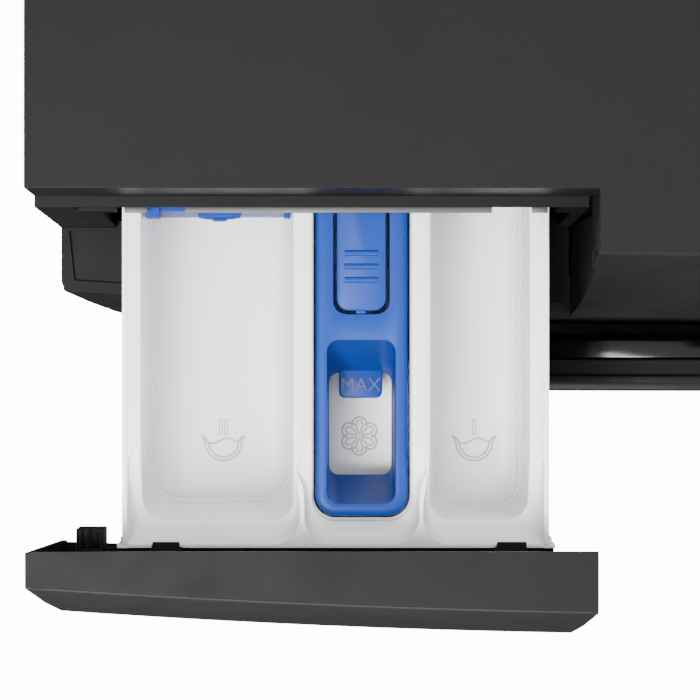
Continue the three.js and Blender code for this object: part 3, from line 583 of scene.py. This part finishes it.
class WASHER_OT_softener(bpy.types.Operator):
    """Softener insert with its funnel and fill mark, the release tab and the detergent gate"""

    bl_idname = "washer.softener"
    bl_label = "Softener insert"

    def execute(self, context):
        top, under, foot = 812, 797, 780
        arc, side = 8, 10

        def ring(bounds, inset, r, z):
            x0, x1, y0, y1 = bounds
            return at_height(outline(x0 + inset, x1 - inset, y0 + inset, y1 - inset, r, arc, side), z)

        body = (-183.9, -145.3, -93.4, 126)
        mouth = (-178.9, -150.5, -88, -20)
        hole = (-178.7, -151.2, -78.1, -33.6)
        slot = (-176.4, -152.9, -9, 118)
        bm = bmesh.new()
        roll = [ring(body, 3.6 * (1 - math.cos(math.radians(a))), 9 - 3.4 * (1 - math.cos(math.radians(a))),
                     top - 1.6 * (1 - math.sin(math.radians(a)))) for a in range(0, 91, 15)]
        crown = roll[-1]
        loft(bm, [crown, *reversed(roll[:-1]), ring(body, 0, 9, under)], cap_end=False)
        lip = ring(mouth, -0.8, 5.6, top)
        notch = ring(slot, -0.5, 6.2, top)
        fill_flat(bm, [crown, lip, notch])
        outside = ring(hole, -1.6, 5.5, foot + 1)
        loft(bm, [
            lip, ring(mouth, -0.25, 5.1, top - 0.2), ring(mouth, 0, 4.8, top - 0.8),
            ring(mouth, 0.15, 4.6, top - 5), ring(hole, -0.1, 4.4, foot + 2.2),
            ring(hole, 0.3, 4.2, foot + 1), ring(hole, 0.1, 4.2, foot), ring(hole, -1.2, 5.2, foot),
            outside, ring(mouth, -1.6, 5.5, under),
        ], cap_end=False)
        loft(bm, [notch, ring(slot, -0.12, 5.8, top - 0.15), ring(slot, 0, 5.5, top - 0.6),
                  ring(slot, 0, 5.5, under)], cap_end=False)
        fill_flat(bm, [ring(body, 0, 9, under), ring(mouth, -1.6, 5.5, under), ring(slot, 0, 5.5, under)])
        finished("insert_shell", bm, "insert_plastic", "drawer", ("softener_insert",), sharp=40)

        mark = bmesh.new()
        plate = outline(-174.2, -155.5, -44.7, -31, (2.6, 2.6, 0.4, 0.4), 6, 4)

        def grown(amount, z):
            return [(x + amount * (1 if x > -164.85 else -1), y - (amount if y < -38 else 0), z)
                    for x, y in plate]

        loft(mark, [grown(-0.6, 779.6), grown(0, 780.2), grown(0, 782.6), grown(-0.3, 783.2),
                    grown(-0.8, 783.4)], cap_start=True)
        finished("fill_mark", mark, "insert_plastic", "drawer", sharp=40)
        word = bmesh.new()
        letters(word, "MAX", 8.2, -164.8, -39.2, 783.3, 0.6)
        finished("fill_mark_letters", word, "insert_relief", "drawer", sharp=40)

        tab = bmesh.new()
        key = (-175, -154.3, -7.6, 63)
        loft(tab, [ring(key, 0.8, 4.6, 806.5), ring(key, 0, 5.2, 807.2), ring(key, 0, 5.2, 811),
                   ring(key, 0.25, 5, 811.6), ring(key, 0.9, 4.6, 811.9)], cap_start=True)
        for y in (16.5, 10.9, 5.3):
            rod(tab, [(-171.7, y, 811.9), (-157.7, y, 811.9)], 1.25, 12, flatten=(811.9, 0.62))
        block(tab, -166.9, -162.7, -8.8, -7, 808.6, 811, 0.3)
        finished("release_tab_shell", tab, "insert_plastic", "release_tab", ("release_tab",), sharp=40)

        def set_back(bm):
            for v in bm.verts:
                y = measured(v.co)[1]
                v.co.y += (3 if y > 30.5 else 4.6 if y < 28 else 1.2) * MM

        rounded("detergent_gate", "insert_plastic", "detergent_gate", 0.3, 2, edit=set_back)
        thumb = bmesh.new()
        path = [(-232.9, 34.6), (-232.2, 32.6), (-230.2, 31.5), (-227, 31.3), (-226, 30.5),
                (-221.8, 30.5), (-220.8, 31.3), (-217.8, 31.5), (-215.8, 32.6), (-215.1, 34.6)]
        rod(thumb, [(x, y, 811.2) for x, y in path], 0.9, 8)
        rod(thumb, [(x, y + 0.3, 809.8) for x, y in path], 0.8, 8)
        block(thumb, -232.6, -215.4, 31.6, 36, 807.4, 808.8, 0.3)
        finished("gate_thumb", thumb, "insert_plastic", "detergent_gate", sharp=40)
        return {"FINISHED"}


# The drawer front's foot and the top of its left end wall: rear edge in the frame, and as shown.
FOOT_REAR, FOOT_SHOWN = -110.5, -117.2
EAR_REAR, EAR_SHOWN = -103.4, -105.2
TOP_REAR = -104.8  # rear edge of its top


class WASHER_OT_drawer_front(bpy.types.Operator):
    """Bowed drawer front with its inner frame, clips and ribbed guide block"""

    bl_idname = "washer.drawer_front"
    bl_label = "Drawer front"

    def execute(self, context):
        def round_ends(bm):
            for v in bm.verts:
                x, y, z = measured(v.co)
                if z < 745 and abs(y - FOOT_REAR) < 0.4 and x > -297:
                    v.co.y = at_depth(FOOT_SHOWN)
                elif z > 848 and abs(y - EAR_REAR) < 0.3:
                    v.co.y = at_depth(EAR_SHOWN)

            def front_corner(e):
                (ax, ay, az), (bx, by, bz) = (measured(v.co) for v in e.verts)
                upright = abs(az - bz) > 2 * abs(ax - bx)
                return upright and (max(ax, bx) < -280 or min(ax, bx) > -84) and max(ay, by) < -112

            def rear_corner(e):
                ends = [measured(v.co) for v in e.verts]
                return all(x > -70 and abs(y - TOP_REAR) < 0.3 and z > 742 for x, y, z in ends)

            round_edges(bm, 7, 6, 12, front_corner)
            round_edges(bm, 2.2, 5, 40, rear_corner)

        def tuck_in(bm):
            for v in bm.verts:
                x, y, z = measured(v.co)
                if z > RIM and y > -105 and x > -270:
                    v.co.y = at_depth(-105.8)  # out of the way of the clips made below
                if z < 800:
                    v.co.x = min(max(x, -258), -93) * MM

        rounded("drawer_front", "graphite_plastic", "drawer", 0.7, 3, angle=25, edit=round_ends)
        rounded("drawer_inner_frame", "black_plastic", "drawer", 0.35, 2, edit=tuck_in)
        clips = bmesh.new()
        for x0, x1 in ((-251.2, -240.2), (-108.2, -96.2)):
            loops = [[(x0 + s, -103.7, z), (x1 - s * 0.2, -103.7, z), (x1 + 0.3, -108.4, z),
                      (x0 - 1.4 + s, -108.4, z)] for s, z in ((0, 817), (0, 818.7), (0.35, 819.3))]
            loft(clips, loops, cap_start=True)
        finished("frame_clips", clips, "graphite_plastic", "drawer", sharp=30)
        guide = bmesh.new()
        block(guide, -282.9, -271.4, -107, -98, 806.8, 817.6, 0.3)
        for x in (-282.3, -280.9, -277.3, -273.6, -271.9):
            block(guide, x - 0.45, x + 0.45, -107.2, -98.3, 808, 818.9, 0.25)
        finished("guide_block", guide, "black_plastic", "drawer", sharp=30)
        return {"FINISHED"}


# ---- cabinet ---------------------------------------------------------------------------
PRESSED = 6  # radius of the round line behind each pressed frame
SIDE_LINE, REAR_LINE = 295.4, 540.4  # where those lines lie, just inside the side and rear panels
NOTCH_REAR, NOTCH_LEAN = 40.8, 1.3  # rear wall of the worktop's notch and how far its foot leans
NOTCH_SIDE = -69.5  # right wall of the notch
WORKTOP_FRONT = 15.45  # front edge beside the notch, at the machine's middle


def round_axis(r, count, start=0.0):
    """Places spread evenly round the drum's axis, as (x, z)."""
    angles = [math.radians(start + 360 * k / count) for k in range(count)]
    return [(r * math.cos(a), AXIS_Z + r * math.sin(a)) for a in angles]


def pressed_frame(bm, lay, limits, corner, gap):
    """Two lines round a rectangle of a panel, one inside the other; lay puts a point on the panel."""
    u0, u1, v0, v1 = limits
    for inset in (0, gap):
        path = outline(u0 + inset, u1 - inset, v0 + inset, v1 - inset, corner - inset / 2)
        rod(bm, [lay(u, v) for u, v in path], PRESSED, 12, cyclic=True)


class WASHER_OT_cabinet(bpy.types.Operator):
    """Worktop, side, rear and front panels with their pressings, screws, base and filter flap"""

    bl_idname = "washer.cabinet"
    bl_label = "Cabinet"

    def execute(self, context):
        def lean_front(bm):
            for v in bm.verts:
                x, y, z = measured(v.co)
                if z < 822.5 and abs(y - NOTCH_REAR) < 0.1:
                    v.co.y -= NOTCH_LEAN * MM
                if x > NOTCH_SIDE and y < 36.5:
                    v.co.y = at_depth(WORKTOP_FRONT + BOW * x * x)

        def free_edge(e):
            x, y, _ = measured((e.verts[0].co + e.verts[1].co) / 2)
            return x <= -68.8 or y >= 29  # not where the worktop meets the control panel

        rounded("worktop", "graphite_plastic", "cabinet", 1.2, 4, edit=lean_front, choose=free_edge)
        for side, x in (("left", -SIDE_LINE), ("right", SIDE_LINE)):
            rounded(side + "_side_panel", "graphite_paint", "cabinet", 0.4, 2)
            pressing = bmesh.new()
            pressed_frame(pressing, lambda y, z, x=x: (x, y, z), (70, 480, 90, 750), 40, 30)
            finished(side + "_side_pressing", pressing, "graphite_paint", "cabinet")
        rounded("rear_panel", "galvanised_steel", "cabinet", 0.3, 2)
        pressing = bmesh.new()
        for limits in ((-255, 255, 55, 215), (-190, 150, 665, 800)):
            pressed_frame(pressing, lambda x, z: (x, REAR_LINE, z), limits, 26, 26)
        rod(pressing, [(x, REAR_LINE, z) for x, z in round_axis(205, 96)], PRESSED, 12, cyclic=True)
        finished("rear_pressing", pressing, "galvanised_steel", "cabinet")
        screws = bmesh.new()
        heads = [(x, 544.8, z) for x in (-289, 289) for z in (40, 230, 420, 610, 800)]
        heads += [(x, 555, z) for x, z in round_axis(176, 8, 20)]
        for x, y, z in heads:
            rod(screws, [(x, y - 2, z), (x, y + 0.9, z), (x, y + 1.5, z)], 4.4, 16)
            rod(screws, [(x, y, z), (x, y + 2.2, z)], 2.6, 6)
        finished("rear_screws", screws, "stainless_steel", "cabinet")
        rounded("base_frame", "technical_plastic", "cabinet", 1.2)
        rounded("front_panel", "graphite_paint", "cabinet", 0.7, 3)
        rounded("filter_flap", "graphite_plastic", "filter_flap", 0.5)
        return {"FINISHED"}


class WASHER_OT_recess(bpy.types.Operator):
    """The drawer's recess: leaning wall, ledge and shelf, with the dispenser behind it and a dark strip of
    painted shadow under the ledge
    """

    bl_idname = "washer.recess"
    bl_label = "Drawer recess"

    def execute(self, context):
        rounded("drawer_surround", "graphite_plastic", "cabinet", 0.5, 3)
        rounded("dispenser_housing", "technical_plastic", "cabinet", 1)
        rounded("dispenser_cover", "technical_plastic", "cabinet", 0.5)
        # A dark strip in three parts, clear of the clips, just under the ledge: painted shadow that stands
        # in for the shade the ledge casts on the tray.
        lip = bmesh.new()
        for x0, x1 in ((-263, -253.5), (-238, -110.5), (-94, -87.5)):
            block(lip, x0, x1, 32.9, 35.4, 817.3, 818.6, 0.3)
        finished("ledge_shadow_strip", lip, "ledge_shadow_strip", "cabinet")
        return {"FINISHED"}


# ---- controls --------------------------------------------------------------------------
# The control panel's face at the machine's middle, as (y, z) from its top down.
FASCIA = ((15.2, 849.7), (13.7, 848.4), (5.5, 822), (-0.5, 797), (-6, 767), (-9.2, 735))
KNOB_AT, KNOB_RIDGES = (30, 795), 48


def fascia_y(x, z):
    """Y of the control panel's face."""
    for (y0, z0), (y1, z1) in zip(FASCIA, FASCIA[1:]):
        if z >= z1:
            return y0 + (y1 - y0) * (z - z0) / (z1 - z0) + BOW * x * x
    return FASCIA[-1][0]


def on_fascia(bm, x, z):
    """Leans a piece built at the datum back and sets it on the control panel's face."""
    origin = place(0, 0, 0)
    bmesh.ops.rotate(bm, cent=origin, matrix=Matrix.Rotation(-LEAN, 3, "X"), verts=bm.verts[:])
    bmesh.ops.translate(bm, vec=place(x, fascia_y(x, z), z) - origin, verts=bm.verts[:])


class WASHER_OT_controls(bpy.types.Operator):
    """Control panel with its knob, pointer, buttons, display and board"""

    bl_idname = "washer.controls"
    bl_label = "Control panel"

    def execute(self, context):
        rounded("control_panel", "graphite_plastic", "cabinet", 0.8, 3)
        rounded("display_window", "black_gloss", "cabinet", 0.5, 2)
        cap = [(0, -20.5), (20, -20.5), (24.5, -18.6), (27, -2), (7, -2), (7, 14), (0, 14)]
        knob = spin_profile(soften(cap, 1.2), 96, 0, 0)
        for k in range(KNOB_RIDGES):
            turn = 2 * math.pi * k / KNOB_RIDGES
            c, s = math.cos(turn), math.sin(turn)
            rod(knob, [(25.3 * c, -16.6, 25.3 * s), (26.8 * c, -4, 26.8 * s)], 0.55, 5)
        on_fascia(knob, *KNOB_AT)
        finished("knob_shell", knob, "graphite_plastic", "program_knob", ("program_knob",))
        pointer = bmesh.new()
        block(pointer, -0.8, 0.8, -20.8, -20.3, 12, 21, 0.2, 1)
        on_fascia(pointer, *KNOB_AT)
        finished("knob_pointer", pointer, "mark", "program_knob")
        for name, x, z, r in (("start_button", 262, 795, 13), ("option_button", 172, 754, 7)):
            cap = [(0, -2.4), (r * 0.6, -2.5), (r - 1, -3), (r, -2), (r, 7), (0, 7)]
            button = spin_profile(soften(cap, 0.5), 64, 0, 0)
            on_fascia(button, x, z)
            finished(name + "_shell", button, "graphite_plastic", name, (name,))
        rounded("control_board", "circuit_board", "cabinet", 0.2, 1)
        return {"FINISHED"}


# ---- door ------------------------------------------------------------------------------
class WASHER_OT_door(bpy.types.Operator):
    """Door rings, cover, glass bowl, hinge, hook, lock and gasket"""

    bl_idname = "washer.door"
    bl_label = "Door"

    def execute(self, context):
        steps = context.scene.washer_sizes.door_steps
        frame = spin_profile(soften([
            (167, -28.3), (236.3, -28.3), (236.3, -36), (238, -36.4), (238, -40), (235, -43.2),
            (228, -44), (190, -44), (172, -41), (167, -38),
        ], 1.5), steps)
        for v in frame.verts:  # the grip: a hollow behind the rim, away from the hinge
            x, y, z = measured(v.co)
            z -= AXIS_Z
            if x > 0 and y > -38.7:
                hold = 1 - ease(abs(z), 56, 64)
                r = math.hypot(x, z)
                pulled = r + (min(r, 221.5) - r) * hold
                v.co.x, v.co.z = pulled / r * x * MM, (pulled / r * z + AXIS_Z) * MM
        finished("door_frame_shell", frame, "graphite_plastic", "door", ("door_frame",), sharp=30)
        ring = soften([(152, -16), (232, -16), (236, -19), (236, -28), (152, -28)], 1)
        finished("door_ring_shell", spin_profile(ring, steps), "black_gloss", "door",
                 ("door_inner_ring",), sharp=30)
        cover = [(0, -42), (60, -41.8), (110, -41), (150, -38.5), (163, -36.6), (165.6, -35.4),
                 (165.6, -33.4), (150, -35.5), (110, -38), (0, -39)]
        finished("door_cover_shell", spin_profile(cover, steps), "black_gloss", "door", ("door_cover",))
        bowl = [(0, 74), (60, 73.8), (100, 72.4), (118, 69), (130, 61), (137, 48), (142, 20),
                (146, -8), (151, -14), (151, -24), (146, -24), (144, -12), (139.5, 14), (134, 44),
                (127, 56.5), (116, 64.5), (98, 68), (60, 69.3), (0, 69.5)]
        finished("door_bowl", spin_profile(bowl, steps), "door_glass", "door", ("door_glass",), sharp=50)
        for node, body in (("door_hinge_leaf", "door"), ("door_hinge_bracket", "cabinet"),
                           ("door_latch_hook", "door_latch_hook")):
            rounded(node, "galvanised_steel", body, 0.5, 2)
        rounded("door_lock", "black_plastic", "cabinet", 1, 2)
        folds = soften([(170, -5), (175, -5), (175, 10), (186, 16), (187, 26), (176.5, 34), (175.5, 62),
                        (172, 62), (172.5, 32), (183, 25), (182, 18), (170, 12)], 3, 5)
        gasket = finished("gasket_shell", spin_profile(folds, steps), "gasket_rubber", "cabinet",
                          ("door_gasket",), sharp=60, ride=False)
        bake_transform(gasket)
        return {"FINISHED"}


# ---- works -----------------------------------------------------------------------------
# Each part: its node, finish and body, and the radius of its edges, 0 where they stay as they are.
WORKS = (
    ("tub_front", "technical_plastic", "tub", 1.5),
    ("tub_rear", "technical_plastic", "tub", 1.5),
    ("front_counterweight", "counterweight_cast", "tub", 4),
    ("top_counterweight", "counterweight_cast", "tub", 5),
    ("heater", "stainless_steel", "tub", 0),
    ("motor", "galvanised_steel", "tub", 1.5),
    ("drive_belt", "black_rubber", "tub", 0.6),
    ("drum_pulley", "galvanised_steel", "drum", 1),
    ("drum_shell", "stainless_steel", "drum", 0.3),
    ("drum_spider", "galvanised_steel", "drum", 2),
    ("motor_pulley", "galvanised_steel", "motor_pulley", 0.6),
    ("drain_pump", "black_plastic", "cabinet", 1.5),
    ("inlet_valve", "tray_plastic", "cabinet", 1),
    ("cord_gland", "black_plastic", "cabinet", 0.6),
    ("drain_outlet", "black_plastic", "cabinet", 0.6),
    ("rear_service_cover", "technical_plastic", "cabinet", 0.8),
    ("drain_filter", "black_plastic", "drain_filter", 1),
    ("dispenser_hose", "black_rubber", "cabinet", 0.8),
)
SPRING_X, SPRING_Y = 215, 340
class WASHER_OT_works(bpy.types.Operator):
    """Tub, drum, suspension, motor, belt and the other parts inside the cabinet"""

    bl_idname = "washer.works"
    bl_label = "Works"

    def execute(self, context):
        for node, material, body, radius in WORKS:
            if radius:
                rounded(node, material, body, radius, 2)
            else:
                smooth_copy(node, material, body)
        for i in range(1, 4):
            rounded(f"drum_paddle_{i}", "tray_plastic", "drum", 4, 4)
        for spot in ("front_left", "rear_left", "front_right", "rear_right"):
            rounded("foot_" + spot, "black_rubber", "foot_" + spot, 0.6, 2)
        for side, name in ((-1, "left"), (1, "right")):
            spring = bmesh.new()
            x = side * SPRING_X
            coil = [(x + 12 * math.cos(a / 10 * math.pi), SPRING_Y + 12 * math.sin(a / 10 * math.pi),
                     646 + 150 * a / 200) for a in range(201)]
            rod(spring, coil, 2, 8)
            made = finished("spring_" + name, spring, "stainless_steel", "cabinet", ("tub_spring_" + name,),
                            ride=False)
            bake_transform(made)
            damper = cad_copy("tub_damper_" + name)
            round_edges(damper, 1, 2)
            made = finished("damper_" + name, damper, "black_plastic", "cabinet", ("tub_damper_" + name,),
                            ride=False)
            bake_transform(made)
        return {"FINISHED"}


# ---- stage -----------------------------------------------------------------------------
# Each soft light: its name, place, the place it points at, width in metres and watts.
LIGHTS = (
    ("Key", (-0.8, -1.0, 2.9), (-0.15, -0.1, 0.8), 1.0, 165),
    ("Front", (-0.5, -2.6, 0.5), (-0.15, -0.3, 0.75), 1.8, 170),
    ("Left", (-2.7, 0.3, 0.3), (0, 0.1, 0.45), 1.5, 90),
    ("Right", (2.7, 0.3, 0.3), (0, 0.1, 0.45), 1.5, 90),
    ("Rear", (0.3, 2.9, 0.3), (0, 0, 0.45), 1.5, 30),
    ("Fill", (1.6, -1.0, 2.6), (0, 0, 0.7), 1.6, 70),
    ("Back", (0.2, 2.4, 2.6), (0, 0, 0.6), 1.8, 60),
)
SKY_LOW, SKY_HIGH = 0.05, 2.5  # strength of the sky at the horizon and overhead
LENS, SENSOR = 109.3, 36  # of the camera, in millimetres
LOOKS_AT = (-169.4, -24, 850)  # on the worktop's plane, straight below the camera


class WASHER_OT_stage(bpy.types.Operator):
    """Pale floor, soft light and the camera above the open drawer"""

    bl_idname = "washer.stage"
    bl_label = "Stage"

    def execute(self, context):
        scene = context.scene
        floor = bmesh.new()
        bmesh.ops.create_grid(floor, x_segments=1, y_segments=1, size=60)
        mesh = bpy.data.meshes.new("floor")
        floor.to_mesh(mesh)
        floor.free()
        mesh.materials.append(FINISH["floor"])
        ground = bpy.data.objects.new("floor", mesh)
        scene.collection.objects.link(ground)
        ground.visible_glossy = ground.visible_diffuse = False  # it neither shows in nor lights the piece
        world = scene.world or bpy.data.worlds.new("Studio")
        scene.world = world
        world.use_nodes = True
        tree = world.node_tree
        tree.nodes["Background"].inputs["Color"].default_value = (1, 1, 1, 1)
        heading = tree.nodes.new("ShaderNodeSeparateXYZ")
        tree.links.new(tree.nodes.new("ShaderNodeTexCoord").outputs["Generated"], heading.inputs["Vector"])
        sky = remap(tree, heading.outputs["Z"], SKY_LOW, SKY_HIGH, 0.0, 1.0)
        tree.links.new(sky, tree.nodes["Background"].inputs["Strength"])
        for name, where, at, size, watts in LIGHTS:
            data = bpy.data.lights.new(name, "AREA")
            data.size, data.energy = size, watts
            lamp = bpy.data.objects.new(name, data)
            lamp.location = where
            lamp.rotation_euler = (Vector(at) - Vector(where)).to_track_quat("-Z", "Y").to_euler()
            scene.collection.objects.link(lamp)
        camera = bpy.data.cameras.new("Camera")
        camera.lens, camera.sensor_width = LENS, SENSOR
        camera.clip_end = 30
        eye = bpy.data.objects.new("Camera", camera)
        eye.location = place(*LOOKS_AT) + Vector((0, 0, scene.washer_sizes.camera_height))
        scene.collection.objects.link(eye)
        scene.camera = eye
        return {"FINISHED"}


class WASHER_PT_panel(bpy.types.Panel):
    """Lists the machine's sizes, colours and pieces"""

    bl_idname = "WASHER_PT_panel"
    bl_label = "Washing machine"
    bl_space_type = "VIEW_3D"
    bl_region_type = "UI"
    bl_category = "Washer"

    def draw(self, context):
        for group in (context.scene.washer_sizes, context.scene.washer_colours):
            for key in group.bl_rna.properties.keys():
                if key not in {"rna_type", "name"}:
                    self.layout.prop(group, key)
        for operator in OPERATORS:
            self.layout.operator(operator.bl_idname)


OPERATORS = (
    WASHER_OT_stage, WASHER_OT_tray, WASHER_OT_softener, WASHER_OT_drawer_front, WASHER_OT_cabinet,
    WASHER_OT_recess, WASHER_OT_controls, WASHER_OT_door, WASHER_OT_works,
)
CLASSES = (WasherSizes, WasherColours, *OPERATORS, WASHER_PT_panel)


def register():
    for item in CLASSES:
        bpy.utils.register_class(item)
    bpy.types.Scene.washer_sizes = PointerProperty(type=WasherSizes)
    bpy.types.Scene.washer_colours = PointerProperty(type=WasherColours)


def unregister():
    del bpy.types.Scene.washer_colours
    del bpy.types.Scene.washer_sizes
    for item in reversed(CLASSES):
        bpy.utils.unregister_class(item)


def main():
    register()
    make_finishes(bpy.context.scene.washer_colours)
    for operator in OPERATORS:
        group, name = operator.bl_idname.split(".")
        getattr(getattr(bpy.ops, group), name)()


if __name__ == "__main__":
    main()
